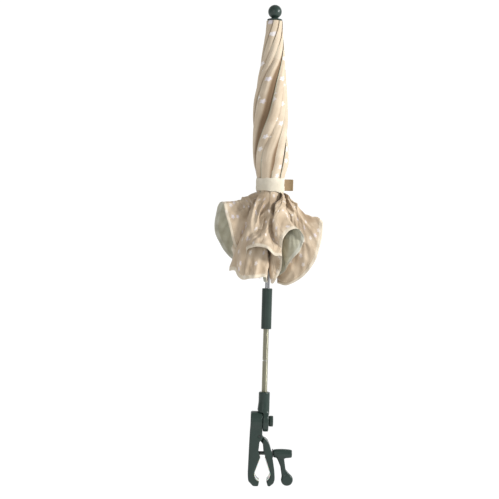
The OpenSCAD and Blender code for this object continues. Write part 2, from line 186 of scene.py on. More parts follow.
# %% A wrapped socket
class Value:
    """A number, vector or colour that the shader works out."""

    def __init__(self, finish, socket):
        self.finish, self.socket = finish, socket

    def maths(self, operation, *others):
        return self.finish.add("ShaderNodeMath", {"operation": operation}, self, *others)

    def __add__(self, other):
        return self.maths("ADD", other)

    __radd__ = __add__

    def __sub__(self, other):
        return self.maths("SUBTRACT", other)

    def __rsub__(self, other):
        return self.finish.add("ShaderNodeMath", {"operation": "SUBTRACT"}, other, self)

    def __mul__(self, other):
        return self.maths("MULTIPLY", other)

    __rmul__ = __mul__

    def __truediv__(self, other):
        return self.maths("DIVIDE", other)

    def sine(self):
        return self.maths("SINE")

    def band(self, low, high):
        """0 below low, 1 above high, smooth between."""
        return self.finish.add(
            "ShaderNodeMapRange", {"interpolation_type": "SMOOTHSTEP"}, self, low, high, 0.0, 1.0
        )


# %% [markdown]
# ## A finish
# Numbers that never change go straight onto a finish's Principled shader. What changes over a
# surface is worked out with `add`, `mix` and `noise`, and then given to the shader.


# %% A finish
class Finish:
    """A material that is built by calls. It starts as a Principled shader."""

    def __init__(self, name, colour=(0.5, 0.5, 0.5), **constants):
        self.material = bpy.data.materials.new(name)
        self.material.use_nodes = True
        self.tree = self.material.node_tree
        self.shader = self.tree.nodes["Principled BSDF"]
        self.shader.inputs["Base Color"].default_value = (*colour, 1)
        for key, value in constants.items():
            self.shader.inputs[key.replace("_", " ")].default_value = value
        self.material.diffuse_color = (*colour, 1)

    def add(self, kind, settings=None, *values, out=0, **named):
        """A node of any kind: its settings first, then its sockets by place or by name."""
        node = self.tree.nodes.new(kind)
        for key, value in (settings or {}).items():
            setattr(node, key, value)
        for place, value in list(enumerate(values)) + [
            (key.replace("_", " "), value) for key, value in named.items()
        ]:
            self.fill(node.inputs[place], value)
        return Value(self, node.outputs[out])

    def fill(self, socket, value):
        """Links a worked-out value to a socket, or writes a plain one on it."""
        if isinstance(value, Value):
            self.tree.links.new(value.socket, socket)
        elif isinstance(value, tuple) and len(value) == 3 and socket.type == "RGBA":
            socket.default_value = (*value, 1)
        else:
            socket.default_value = value

    def mix(self, amount, a, b):
        """Colour a where amount is 0 and b where it is 1."""
        node = self.tree.nodes.new("ShaderNodeMix")
        node.data_type = "RGBA"
        for place, value in ((0, amount), (6, a), (7, b)):
            self.fill(node.inputs[place], value)
        return Value(self, node.outputs[2])

    def noise(self, where, scale, detail=3.0):
        return self.add("ShaderNodeTexNoise", {}, Vector=where, Scale=scale, Detail=detail)

    def here(self):
        """Object coordinates, which stay with the piece when it moves."""
        return self.add("ShaderNodeTexCoord", out="Object")

    def bump(self, height, distance, strength=1.0):
        normal = self.add("ShaderNodeBump", {}, Strength=strength, Distance=distance, Height=height)
        self.tree.links.new(normal.socket, self.shader.inputs["Normal"])

    def give(self, **links):
        for key, value in links.items():
            self.fill(self.shader.inputs[key.replace("_", " ")], value)


# %% [markdown]
# ## Hard finishes
# Moulded plastic is never one flat colour: the mould leaves a fine grain, fingers polish it in
# patches, and the tone drifts a little. Metal shows drawing marks. Each finish gets its own.


# %% Plastic and metal
def moulded(name, colour, roughness, grain=0.04 * MM):
    finish = Finish(name, colour, Specular_IOR_Level=0.4)
    here = finish.here()
    patches = finish.noise(here, 60.0)
    finish.give(
        Base_Color=finish.mix(patches, colour, tuple(c * 1.5 + 0.004 for c in colour)),
        Roughness=roughness + (patches - 0.5) * 0.14,
    )
    finish.bump(finish.noise(here, 2600.0, 2.0), grain, 0.6)
    return finish.material


def metal(name, colour, roughness, marks=(1.0, 1.0, 30.0)):
    finish = Finish(name, colour, Metallic=1.0)
    stretched = finish.add("ShaderNodeMapping", {}, Vector=finish.here(), Scale=marks)
    drawn = finish.noise(stretched, 300.0)
    finish.give(
        Base_Color=finish.mix(drawn, tuple(c * 0.86 for c in colour), colour),
        Roughness=roughness + (drawn - 0.5) * 0.12,
    )
    return finish.material


# %% The hard finishes
GREEN = moulded("green_plastic", (0.017, 0.031, 0.0255), 0.3)
BLACK = moulded("black_plastic", (0.007, 0.009, 0.0085), 0.42)
STEEL = metal("steel", (0.55, 0.55, 0.54), 0.3)
DARK_STEEL = metal("dark_steel", (0.075, 0.085, 0.08), 0.45)
CHROME = metal("chrome", (0.56, 0.57, 0.58), 0.14)
OLIVE = metal("neck_metal", (0.42, 0.41, 0.31), 0.3)
pad_finish = Finish("pad", (0.62, 0.66, 0.62), Subsurface_Weight=0.25, Subsurface_Scale=0.004)
pad_spots = pad_finish.noise(pad_finish.here(), 220.0)
pad_finish.give(
    Base_Color=pad_finish.mix(pad_spots, (0.52, 0.56, 0.52), (0.70, 0.73, 0.69)),
    Roughness=0.4 + pad_spots * 0.2,
)
PAD = pad_finish.material
print("seven hard finishes")

# %% [markdown]
# ## Cloth finishes
# The canopy is a plain weave in sand, printed with small pale blossoms, and coated grey-green
# inside against the sun. The pattern follows the cloth, so it reads the cloth's own flat
# coordinates, in metres, from a UV map that each cloth piece carries. Folds, creases and the
# cloth near the mast are darkened with painted shade, which an attribute on each piece holds.


# %% Weave and print
THREAD = 0.45 * MM
BLOSSOM = 5.4 * MM


def woven(finish, flat):
    """Height of a plain weave, from 0 to 1."""
    apart = finish.add("ShaderNodeSeparateXYZ", {}, flat)
    across = Value(finish, apart.socket)
    along = Value(finish, apart.socket.node.outputs[1])
    turn = 2 * math.pi / (2 * THREAD)
    return 0.5 + (across * turn).sine() * (along * turn).sine() * 0.5


def blossoms(finish, flat, per_metre, seed):
    """1 inside small five-petal blossoms, strewn over the cloth, and a random colour for each."""
    moved = finish.add("ShaderNodeVectorMath", {"operation": "ADD"}, flat, (seed, seed * 0.7, 0.0))
    cells = finish.add(
        "ShaderNodeTexVoronoi",
        {"voronoi_dimensions": "2D"},
        Vector=moved,
        Scale=per_metre,
        Randomness=0.85,
        out="Position",
    )
    tint = Value(finish, cells.socket.node.outputs["Color"])
    away = finish.add("ShaderNodeVectorMath", {"operation": "SUBTRACT"}, moved, cells)
    apart = finish.add("ShaderNodeSeparateXYZ", {}, away)
    x, y = apart, Value(finish, apart.socket.node.outputs[1])
    angle = finish.add("ShaderNodeMath", {"operation": "ARCTAN2"}, y, x)
    petal = 0.82 + finish.add("ShaderNodeMath", {"operation": "COSINE"}, angle * 5.0) * 0.18
    reach = finish.add("ShaderNodeVectorMath", {"operation": "LENGTH"}, away, out="Value")
    return 1 - (reach / petal).band(BLOSSOM * 0.55, BLOSSOM), tint


# %% [markdown]
# ### Creases and hem
# The loose lower cloth is a little browner, and has thin crease lines of painted shade. A
# line lies where a stretched noise passes its middle value. The hem is double cloth and paler.


# %% Creases and hem
# Painted shade: crease lines and folds darken to the first two browns. The lower cloth gets the third.
CREASE_SHADE_BROWN, FOLD_SHADE_BROWN, LOWER_BROWN = (0.20, 0.12, 0.06), (0.17, 0.105, 0.055), (0.42, 0.29, 0.17)
HEM_PALE = (0.72, 0.66, 0.54)


def creases_lower_tone_and_hem(finish, flat, colour):
    """Printed cloth's colour with painted-shade crease lines, a browner lower part and a paler hem."""
    drawn_out = finish.add("ShaderNodeMapping", {}, Vector=flat, Scale=(1.0, 0.22, 1.0))
    wander = finish.noise(drawn_out, 34.0, 1.0)
    off_middle = finish.add("ShaderNodeMath", {"operation": "ABSOLUTE"}, wander - 0.5)
    crease_shade_line = 1 - off_middle.band(0.0, 0.03)
    patch = finish.noise(flat, 9.0, 2.0).band(0.35, 0.6)
    apart = finish.add("ShaderNodeSeparateXYZ", {}, flat)
    below = Value(finish, apart.socket.node.outputs[1])
    lower_tone = below.band(0.22, 0.32) * 0.42 + 0.1
    # Painted shade: thin dark crease lines, strongest on the lower cloth.
    colour = finish.mix(crease_shade_line * patch * lower_tone, colour, CREASE_SHADE_BROWN)
    colour = finish.mix(lower_tone * 0.5, colour, LOWER_BROWN)
    hem = below.band(CLOTH_LEN - 6.8 * MM, CLOTH_LEN - 6 * MM)
    return finish.mix(hem * 0.65, colour, HEM_PALE)


# %% Printed and plain cloth
def cloth_finish(name, sand, pale, with_print):
    finish = Finish(name, sand, Sheen_Weight=0.12, Sheen_Roughness=0.5, Specular_IOR_Level=0.25)
    flat = finish.add("ShaderNodeUVMap", {"uv_map": "cloth"})
    weave = woven(finish, flat)
    soft = finish.noise(flat, 34.0, 4.0)
    colour = finish.mix(soft.band(0.3, 0.75), tuple(c * 0.93 for c in sand), pale)
    colour = finish.mix((1 - weave) * 0.10, colour, tuple(c * 0.5 for c in sand))
    if with_print:
        for per_metre, seed in ((31.0, 3.1), (24.0, 7.7)):
            mask, tint = blossoms(finish, flat, per_metre, seed)
            pick = finish.add("ShaderNodeSeparateColor", {}, tint)
            petal = finish.mix(pick, (0.74, 0.70, 0.76), (0.86, 0.83, 0.78))
            colour = finish.mix(mask * 0.92, colour, petal)
    # Painted shade: the cloth is darkened towards brown in folds, creases and near the mast.
    painted_shade = finish.add("ShaderNodeAttribute", {"attribute_name": "painted_shade"}, out="Fac")
    colour = finish.mix(painted_shade, colour, FOLD_SHADE_BROWN)
    # Painted crease shade, a browner lower part and a paler hem, on the printed cloth only.
    if with_print:
        colour = creases_lower_tone_and_hem(finish, flat, colour)
    finish.give(Base_Color=colour, Roughness=0.78 + weave * 0.12)
    crush = finish.noise(flat, 160.0, 4.0)
    finish.bump(weave * 0.25 + crush, 0.6 * MM, 0.5)
    return finish.material


SAND, SAND_PALE = (0.60, 0.49, 0.36), (0.68, 0.58, 0.45)
CLOTH_OUT = cloth_finish("cloth_outside", SAND, SAND_PALE, True)
STRAP = cloth_finish("strap", (0.66, 0.60, 0.48), (0.76, 0.70, 0.59), False)
# The strap's end is coloured darker brown as painted shade.
SHADED_TAB = cloth_finish("tab", (0.33, 0.235, 0.13), (0.43, 0.32, 0.185), False)
print("cloth finishes: outside, strap and tab")

# %% [markdown]
# ### The coated inside and the glowing floor
# The inside's grey-green coating fills the weave, so it is smoother than the print side, and it
# has a paler tape along the hem. The floor glows by itself and needs no lamp.

# %% Inside of the cloth, and the floor
inside = Finish("cloth_inside", (0.42, 0.41, 0.31), Specular_IOR_Level=0.45)
inside_flat = inside.add("ShaderNodeUVMap", {"uv_map": "cloth"})
inside_weave = woven(inside, inside_flat)
inside_soft = inside.noise(inside_flat, 40.0, 4.0)
apart = inside.add("ShaderNodeSeparateXYZ", {}, inside_flat)
down_cloth = Value(inside, apart.socket.node.outputs[1])
hem_tape = down_cloth.band(CLOTH_LEN - 8.5 * MM, CLOTH_LEN - 8 * MM) * 0.5
coating = inside.mix(inside_soft, (0.38, 0.37, 0.27), (0.50, 0.48, 0.37))
coating = inside.mix((1 - inside_weave) * 0.12, coating, (0.2, 0.2, 0.16))
inside.give(
    Base_Color=inside.mix(hem_tape, coating, (0.60, 0.60, 0.54)),
    Roughness=0.46 + inside_weave * 0.15,
)
inside.bump(inside_weave * 0.25 + inside.noise(inside_flat, 160.0, 4.0), 0.5 * MM, 0.5)
CLOTH_IN = inside.material
glow = {"Emission_Color": (1, 1, 1, 1), "Emission_Strength": 0.96}
floor_finish = Finish("pale_floor", (0.1, 0.1, 0.1), Roughness=1.0, **glow)
floor_mesh.materials.append(floor_finish.material)
print("finishes:", CLOTH_IN.name, floor_finish.material.name)

# %% [markdown]
# ## Every frame node gets its finish
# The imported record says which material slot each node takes. Nodes that stay visible, such as the
# ribs and the chrome shaft, only need the right finish. The clamp's own steel is blackened.

# %% Finishes on the frame's nodes
BY_SLOT = {
    "green_plastic": GREEN,
    "black_plastic": BLACK,
    "pad": PAD,
    "steel": STEEL,
    "chrome": CHROME,
    "neck_metal": OLIVE,
    "cloth": CLOTH_OUT,
    "strap": STRAP,
    "tab": SHADED_TAB,
}
BLACKENED = ("jaw_pin", "clamp_screw", "thrust_washer", "screw_nut", "hub_clip")
slot_of = {row["node"]: row["material_slot"] for row in frame["record"]["subparts"]}
body_of = {n: b for b, ns in frame["record"]["behaviour"]["bodies"].items() for n in ns}
for name, node in frame["nodes"].items():
    finish = DARK_STEEL if name in BLACKENED else BY_SLOT[slot_of[name]]
    node.data.materials.clear()
    node.data.materials.append(finish)
print("finished", len(frame["nodes"]), "nodes")

# %% [markdown]
# ## Moulded pieces with soft edges
# A moulding has no sharp edge: the tool rounds them and the walls run into each other. One way is
# a bevel on every edge, but where a round arm meets a round hub there is no edge to bevel. So the
# frame's shape is turned into small cubes and back into a skin (a voxel remesh), and smoothed.
# That rounds the outside edges and fills the inside ones, as plastic in a mould does.


# %% Helper: a new piece from points and faces
def make_piece(name, points, faces, finish):
    mesh = bpy.data.meshes.new(name)
    mesh.from_pydata([tuple(p) for p in points], [], faces)
    mesh.materials.append(finish)
    piece = bpy.data.objects.new(name, mesh)
    bpy.context.scene.collection.objects.link(piece)
    return piece


def settle(piece):
    """Turns a piece and its modifiers into a plain mesh."""
    bpy.context.view_layer.update()
    graph = bpy.context.evaluated_depsgraph_get()
    mesh = bpy.data.meshes.new_from_object(piece.evaluated_get(graph), depsgraph=graph)
    piece.modifiers.clear()
    piece.data = mesh
    return piece


# %% Helper: melt a node's edges
def melt(node, voxel, rounds, finish, reshape=None):
    """Rounds a copy of a node and puts it in the node's place. More rounds make softer edges."""
    cad = frame["nodes"][node]
    shape = bmesh.new()
    shape.from_mesh(cad.data)
    bmesh.ops.remove_doubles(shape, verts=shape.verts, dist=1e-6)
    mesh = bpy.data.meshes.new("moulded_" + node)
    shape.to_mesh(mesh)
    shape.free()
    piece = bpy.data.objects.new("moulded_" + node, mesh)
    bpy.context.scene.collection.objects.link(piece)
    remesh = piece.modifiers.new("skin", "REMESH")
    remesh.mode, remesh.voxel_size, remesh.adaptivity = "VOXEL", voxel, 0.0
    smooth = piece.modifiers.new("round", "SMOOTH")
    smooth.factor, smooth.iterations = 0.5, rounds
    settle(piece)
    if reshape:
        for vertex in piece.data.vertices:
            vertex.co = reshape(vertex.co)
    piece.data.materials.clear()
    piece.data.materials.append(finish)
    piece.data.shade_smooth()
    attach(piece, body_of[node])
    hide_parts(node)
    print(piece.name, len(piece.data.polygons), "faces")
    return piece


# %% [markdown]
# ### Two small changes of shape
# The knob's hub is a barrel, thicker in its middle. The smoothing softens the rim of the button's
# bore, so the button is made a hair slimmer and slides in without rubbing.


# %% The knob's barrel and the slim button
knob_low, knob_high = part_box("lever_knob")
washer_low, washer_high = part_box("thrust_washer")
Z_SCREW = (washer_low.z + washer_high.z) / 2
HUB_R = (washer_high.z - washer_low.z) / 2
button_low, button_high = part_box("head_button")
HEAD_Z = (button_low.z + button_high.z) / 2
BUTTON_SLIM = 0.972


def barrel(point):
    """The knob's hub swells in the middle. The lever below it is left alone."""
    half = (knob_high.x - knob_low.x) / 2
    along = (point.x - (knob_low.x + knob_high.x) / 2 + 1.5 * MM) / half
    off = Vector((0, point.y, point.z - Z_SCREW))
    if off.length > HUB_R * 1.35:
        return point
    size = 1.08 - 0.20 * along * along
    return Vector((point.x, off.y * size, Z_SCREW + off.z * size))


def slim(point):
    """Pulls a point of the button towards the button's axis."""
    return Vector((point.x, point.y * BUTTON_SLIM, HEAD_Z + (point.z - HEAD_Z) * BUTTON_SLIM))


print("hub radius", round(HUB_R, 4), "head at", round(HEAD_Z, 4))

# %% Melt the clamp, the head and the mast's mouldings
melt("fixed_jaw", 0.75 * MM, 44, GREEN)
melt("swing_jaw", 0.7 * MM, 44, GREEN)
melt("lever_knob", 0.6 * MM, 60, GREEN, barrel)
melt("socket", 0.65 * MM, 36, GREEN)
melt("head_button", 0.5 * MM, 30, GREEN, slim)
melt("collar", 0.45 * MM, 3, GREEN)
melt("finial", 0.5 * MM, 8, GREEN)
melt("sleeve", 0.6 * MM, 8, GREEN)

# %% [markdown]
# ### The button's spring
# On the real parasol a spring shortens as the button goes in, and one end stays where it is.
# Here the frame's spring is copied, rides with its own body, and doesn't shorten.

# %% The button's spring
low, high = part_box("button_spring")
spring = bpy.data.objects.new("wound_button_spring", frame["nodes"]["button_spring"].data.copy())
bpy.context.scene.collection.objects.link(spring)
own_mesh(spring)
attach(spring, body_of["button_spring"])
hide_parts("button_spring")

# %% [markdown]
# ### The pads
# The pads are soft and pale, so the tube isn't scratched. Only their edges are eased.

# %% The pads
melt("fixed_pad", 0.35 * MM, 2, PAD)
melt("swing_pad", 0.35 * MM, 2, PAD)

# %% [markdown]
# ## The bending neck
# The neck is a flexible arm: wire wound in a close coil over a core. A coil follows a rule, so
# Geometry Nodes wind it: a spiral curve gets a round profile. The tree's inputs are its sizes.


# %% Helper: a node tree for geometry
class Builder:
    """A Geometry Nodes tree with named inputs. It ends in Realize Instances and Set Material."""

    def __init__(self, name, inputs):
        self.tree = bpy.data.node_groups.new(name, "GeometryNodeTree")
        sockets = self.tree.interface
        sockets.new_socket("Geometry", in_out="INPUT", socket_type="NodeSocketGeometry")
        for label, kind in inputs:
            sockets.new_socket(label, in_out="INPUT", socket_type="NodeSocket" + kind)
        sockets.new_socket("Geometry", in_out="OUTPUT", socket_type="NodeSocketGeometry")
        self.start = self.tree.nodes.new("NodeGroupInput")
        self.end = self.tree.nodes.new("NodeGroupOutput")

    def given(self, label):
        return self.start.outputs[label]

    def add(self, kind, settings=None, **inputs):
        node = self.tree.nodes.new(kind)
        for key, value in (settings or {}).items():
            setattr(node, key, value)
        for key, value in inputs.items():
            socket = node.inputs[key.replace("_", " ")]
            if isinstance(value, bpy.types.NodeSocket):
                self.tree.links.new(value, socket)
            else:
                socket.default_value = value
        return node

    def finish(self, geometry, material):
        real = self.add("GeometryNodeRealizeInstances", Geometry=geometry)
        painted = self.add("GeometryNodeSetMaterial", Geometry=real.outputs[0], Material=material)
        self.tree.links.new(painted.outputs[0], self.end.inputs[0])


def run_tree(piece, builder, values):
    """Puts the tree on the piece, sets its named inputs, and keeps only the mesh it makes."""
    modifier = piece.modifiers.new("build", "NODES")
    modifier.node_group = builder.tree
    for item in builder.tree.interface.items_tree:
        if item.in_out == "INPUT" and item.name in values:
            modifier[item.identifier] = values[item.name]
    return settle(piece)


# %% The coil's tree
def coil_tree():
    sizes = [(label, "Float") for label in ("Turns", "Radius", "Wire", "Height")]
    build = Builder("wound_coil", sizes + [("Base", "Vector")])
    path = build.add(
        "GeometryNodeCurveSpiral",
        Resolution=22,
        Rotations=build.given("Turns"),
        Start_Radius=build.given("Radius"),
        End_Radius=build.given("Radius"),
        Height=build.given("Height"),
    )
    ring = build.add("GeometryNodeCurvePrimitiveCircle", Resolution=8, Radius=build.given("Wire"))
    wire = build.add(
        "GeometryNodeCurveToMesh",
        Curve=path.outputs[0],
        Profile_Curve=ring.outputs[0],
        Fill_Caps=True,
    )
    placed = build.add(
        "GeometryNodeTransform", Geometry=wire.outputs[0], Translation=build.given("Base")
    )
    smooth = build.add("GeometryNodeSetShadeSmooth", Geometry=placed.outputs[0])
    build.finish(smooth.outputs[0], OLIVE)
    return build


# %% [markdown]
# ### Winding the two halves
# The frame bends the neck at its middle, so the coil is two pieces. Each is wound in place and
# is tied to no body, so it doesn't bend with the hinge.

# %% Winding the two halves
WIRE_R, COIL_PITCH = 0.78 * MM, 1.62 * MM
coil_low, coil_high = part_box("neck_coil_low")
coil_out = (coil_high.x - coil_low.x) / 2
winding = coil_tree()
for node, low_body, high_body in (
    ("neck_coil_low", "head", "neck"),
    ("neck_coil_high", "neck", "mast"),
):
    low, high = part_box(node)
    height = high.z - low.z - 2 * WIRE_R
    coil = make_piece("wound_" + node, [(0, 0, 0)], [], OLIVE)
    run_tree(
        coil,
        winding,
        {
            "Turns": height / COIL_PITCH,
            "Radius": coil_out - WIRE_R,
            "Wire": WIRE_R,
            "Height": height,
            "Base": (0, 0, low.z + WIRE_R),
        },
    )
    start = Z_SOCKET_TOP if node == "neck_coil_low" else low.z
    stop = high.z if node == "neck_coil_low" else Z_SLEEVE_LOW
    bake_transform(coil)
    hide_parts(node)
    print(coil.name, round(height / COIL_PITCH, 1), "turns")

# %% [markdown]
# ## The rolled canopy
# A parasol's canopy is eight three-cornered gores. When it is closed, each gore makes a pleat
# between two ribs, and the pleats are wound round the mast the same way. So one gore's section
# is a spiral: out from its rib under its neighbour, round a fold, and back to the next rib.
# Below the strap nothing holds the pleats, so they flare into loose funnels.
# The spiral follows a rule and is worked out in code. The funnels are drawn: each has a hem
# curve, and the cloth runs to it from the strap.


# %% The cloth's own measures
def gore_width(v):
    """Width of the flat gore at a distance v down from the crown."""
    return 2 * np.maximum(v, 0.004) * math.sin(OPEN) * math.sin(STEP / 2)


def waves(seed, count, low, high):
    """A smooth random function of two numbers, from -1 to 1, made of sine waves."""
    rng = np.random.default_rng(seed)
    turns = rng.uniform(low, high, (count, 2)) * rng.choice([-1, 1], (count, 2))
    shift = rng.uniform(0, 2 * math.pi, count)

    def height(a, b):
        total = sum(np.sin(ta * a + tb * b + s) for (ta, tb), s in zip(turns, shift))
        return total / math.sqrt(count) / 1.4

    return height


# The roll's outline down the mast, how far it leans aside, and how far each pleat is wound round
# the mast at a distance down the cloth.
ROLL_Z = np.array([743.5, 735, 711, 661, 610, 585, 560, 520, 503, 487, 462]) * MM
ROLL_R = np.array([13.4, 13.8, 16.2, 20.4, 26.0, 27.2, 27.2, 27.4, 25.4, 22.3, 22.2]) * MM
LEAN_Z = np.array([744, 661, 610, 560, 520, 480]) * MM
LEAN_X = np.array([0, -0.9, -2.4, -1.2, 0, 0]) * MM
WRAP_V = np.array([0, 40, 90, 150, 215, 250, 290]) * MM
WRAP = np.radians([75, 130, 190, 225, 285, 292.5, 292.5])


def from_knots(x, knots_x, knots_y, soft):
    """Straight runs between knots, averaged over a length so that no corner shows."""
    order = np.argsort(knots_x)
    near = np.linspace(-soft, soft, 9)
    return np.mean([np.interp(x + d, knots_x[order], knots_y[order]) for d in near], axis=0)


print("the roll's widest radius", ROLL_R.max())

# %% [markdown]
# ### The section of one pleat
# From its first rib the cloth winds outwards over the pleats below, turns back at a fold, and
# comes back under itself to the next rib. The part that isn't covered by the next pleat is the
# part that is seen, and it puffs out a little. Its edge, where the next pleat starts, is a crease.


# %% The section of one pleat
TURN = 0.035  # how sharp the fold is, as a share of half the gore's width
INNER_R, INNER_GROWS = 12.0 * MM, 0.7 * MM
PUFF, PUFF_SINKS, RIPPLE = 3.4 * MM, 2.0 * MM, 0.5 * MM
SWAY = np.radians(21)  # how far a fold's edge strays from its winding
GROW = 0.85  # below 1 the spiral grows fastest near its start
UNDER = 0.42  # how deep in the layer the cloth that comes back lies


def pleat_section(gore, v, u):
    """Points of one gore at distance v down the cloth and share u across it, and its turns."""
    z = Z_CROWN - v
    out_r = from_knots(z, ROLL_Z, ROLL_R, 9 * MM)
    in_r = INNER_R + INNER_GROWS * np.clip(v / 0.06, 0, 1)
    loose = np.clip((v - 0.015) / 0.07, 0, 1) * np.clip((0.264 - v) / 0.035, 0, 1)
    sway = SWAY * waves(40 + gore, 4, 4, 17)(v * 1.0, v * 0)
    wrap = from_knots(v, WRAP_V, WRAP, 12 * MM) + sway * loose
    out_r = out_r * (1 + 0.05 * loose * waves(60 + gore, 4, 10, 30)(v, v * 0))
    c = 2 * u - 1
    near = np.sqrt(c * c + TURN * TURN) - TURN
    near = near / (math.sqrt(1 + TURN * TURN) - TURN)
    under = 0.5 * (1 - np.tanh(c / TURN))
    turned = wrap * (1 - near) * (1 - under) + (wrap - (wrap - STEP) * near) * under
    share = np.clip(turned / wrap, 0, 1)
    reach = in_r + (out_r - in_r) * share**GROW
    inner = in_r + (out_r - in_r) * np.clip((turned - STEP) / wrap, 0, 1) ** GROW
    seen = np.clip((turned - (wrap - STEP)) / STEP, 0, 1)
    puff = (PUFF * np.sin(math.pi * seen) ** 0.7 - PUFF_SINKS * seen**3) * loose
    ripple = RIPPLE * waves(80 + gore, 8, 4, 34)(u * 9, v * 1.0) * loose * seen
    radius = reach - under * UNDER * (reach - inner) + (puff + ripple) * (1 - under)
    rib_angle = STEP / 2 + (gore + 1) * STEP
    angle = rib_angle - turned
    x = radius * np.cos(angle) + from_knots(z, LEAN_Z, LEAN_X, 10 * MM)
    # Painted shade on the cloth just beside each fold's edge.
    crease = np.exp(-((seen / 0.16) ** 2)) * (1 - under)
    return np.stack([x, radius * np.sin(angle), z + 0 * radius], -1), turned, crease


# %% [markdown]
# ### The loose funnels
# Each funnel is given as a hem curve round its own direction: out from the mast, sideways, and
# the height. The cloth leaves the strap downwards and meets the hem along the funnel's
# direction. Small ridges that fan out from the strap make it look gathered.
# Each row below holds a hem (out, sideways and height, in millimetres), the way its mouth faces,
# and how far out and down the cloth sets off from the strap.

# %% The funnels' hems
PLAIN_HEM = [
    (14, -5, 322), (42, -24, 336), (68, -26, 362), (79, -14, 394), (81, 0, 408),
    (75, 14, 394), (62, 22, 362), (40, 18, 336), (14, 5, 322),
]
HEMS = [
    ([(15, -5, 322), (40, -22, 340), (68, -30, 358), (86, -30, 384), (90, -22, 412), (84, -8, 440),
      (77, 10, 442), (72, 22, 426), (64, 30, 400), (56, 30, 374), (40, 20, 352), (17, 6, 326)],
     (1.0, 0.25, -0.1), 24, 6),
    ([(14, -4, 320), (34, -30, 330), (58, -28, 334), (70, -10, 330), (70, 10, 322), (60, 26, 319),
      (46, 34, 324), (36, 34, 320), (22, 18, 314), (14, 4, 316)],
     (0.12, 0.0, -1.0), 12, 14),
    ([(14, -6, 322), (34, -22, 338), (50, -36, 362), (60, -24, 372), (63, -6, 368), (62, 10, 361),
      (54, 20, 357), (36, 14, 340), (15, 6, 322)],
     (0.55, 0.0, -0.8), 2, 40),
    ([(14, -4, 318), (28, -22, 314), (40, -26, 316), (46, -18, 336), (49, -19, 360), (54, -21, 380),
      (53, -9, 399), (60, 5, 403), (69, 11, 390), (66, 5, 368), (54, -4, 350), (36, 2, 334),
      (15, 5, 322)],
     (0.75, 0.25, -0.6), 26, 8),
    ([(16, -8, 313), (34, -16, 311), (60, -22, 328), (78, -22, 356), (86, -14, 386), (88, -3, 416),
      (84, 10, 412), (76, 20, 378), (54, 22, 344), (34, 16, 326), (16, 8, 318)],
     (0.95, 0.0, -0.3), 22, 7),
    (PLAIN_HEM, (0.85, 0.0, -0.5), 16, 12),
    (PLAIN_HEM, (0.75, 0.1, -0.6), 14, 14),
    (PLAIN_HEM, (0.9, -0.1, -0.4), 18, 10),
]


# %% Helper: a smooth curve through points
def through(points, share):
    """A smooth curve through points, at shares from 0 to 1 of its length."""
    points = np.array(points, float)
    ends = np.vstack([2 * points[0] - points[1], points, 2 * points[-1] - points[-2]])
    length = np.concatenate([[0], np.cumsum(np.linalg.norm(np.diff(points, axis=0), axis=1))])
    place = np.interp(share * length[-1], length, np.arange(len(points)))
    k = np.clip(place.astype(int), 0, len(points) - 2)
    t = (place - k)[:, None]
    a, b, c, d = ends[k], ends[k + 1], ends[k + 2], ends[k + 3]
    return 0.5 * (
        2 * b + (c - a) * t + (2 * a - 5 * b + 4 * c - d) * t**2 + (3 * b - a - 3 * c + d) * t**3
    )


# %% [markdown]
# ### From the strap to the hem
# Each line of cloth is a Bezier curve: it starts in the direction that the strap lets it go, and
# ends in the mouth's direction. Near the strap it is still wound round the mast, and it unwinds
# in the first third of its length.

# %% Points of the loose cloth
ACROSS, ROLLED, LOOSE = 130, 120, 70
UNWOUND = 0.34
SPREAD = np.radians(24)  # the cloth leaves the strap this far to either side
INNER_DROP, LIP, MOUTH_LIP = 26, 12, 34  # for the curve's middle points, in millimetres


def flare_points(gore, top, turned, u):
    """Rows of cloth from the strap (top) to the hem."""
    hem_knots, way, shoulder, drop = HEMS[gore - 1]
    local = through(hem_knots, u) * MM
    facing = STEP / 2 + (gore + 1) * STEP - WRAP[-1]
    out = np.array([math.cos(facing), math.sin(facing), 0])
    side = np.array([-math.sin(facing), math.cos(facing), 0])
    up = np.array([0, 0, 1])
    calm = gore in (1, 5)  # the two widest mouths have the smoothest hems
    wobble = (1.0 if calm else 2.4) * MM * np.sin(math.pi * u)
    wobble = wobble * waves(200 + gore, 4, 3, 9)(u * 5, u * 0)
    local[:, 2] += wobble
    local[:, 0] += wobble * np.cos(9 * u)
    hem = local[:, :1] * out + local[:, 1:2] * side + local[:, 2:] * up
    way = way[0] * out + way[1] * side + way[2] * up
    way = way / np.linalg.norm(way)
    mouth = np.sin(math.pi * u)[:, None] ** 0.7
    way = way * mouth - up * (1 - mouth)
    radius = np.hypot(top[:, 0], top[:, 1])
    beside = SPREAD * np.tanh((u - 0.5) / 0.1)
    spot = facing + beside
    start = np.stack([radius * np.cos(spot), radius * np.sin(spot), top[:, 2]], -1)
    outer = (np.clip(turned / WRAP[-1], 0, 1) ** 4)[:, None]
    first_way = out * shoulder * outer - up * (drop + INNER_DROP * (1 - outer))
    s = np.linspace(0, 1, LOOSE + 1)[1:, None, None]
    p1 = start + first_way * MM
    p2 = hem - way * (LIP + MOUTH_LIP * mouth) * MM
    rows = (1 - s) ** 3 * start + 3 * (1 - s) ** 2 * s * p1 + 3 * (1 - s) * s**2 * p2 + s**3 * hem
    left = (WRAP[-1] - turned - beside) * (1 - np.clip(s[..., 0] / UNWOUND, 0, 1)) ** 2
    x, y = rows[..., 0], rows[..., 1]
    c, n = np.cos(left), np.sin(left)
    return np.stack([x * c - y * n, x * n + y * c, rows[..., 2]], -1)


def normals_of(points):
    along = np.gradient(points, axis=0)
    across = np.gradient(points, axis=1)
    n = np.cross(along, across)
    return n / np.maximum(np.linalg.norm(n, axis=2, keepdims=True), 1e-12)


# %% [markdown]
# ### One whole gore
# The rolled rows and the loose rows are joined, and then roughened: ridges and small folds along
# the cloth, and crumples that every layer shares, so that none comes through another.


# %% Points of one whole gore
RIDGE, FINE, SHARED = 3.6 * MM, 0.8 * MM, 2.6 * MM


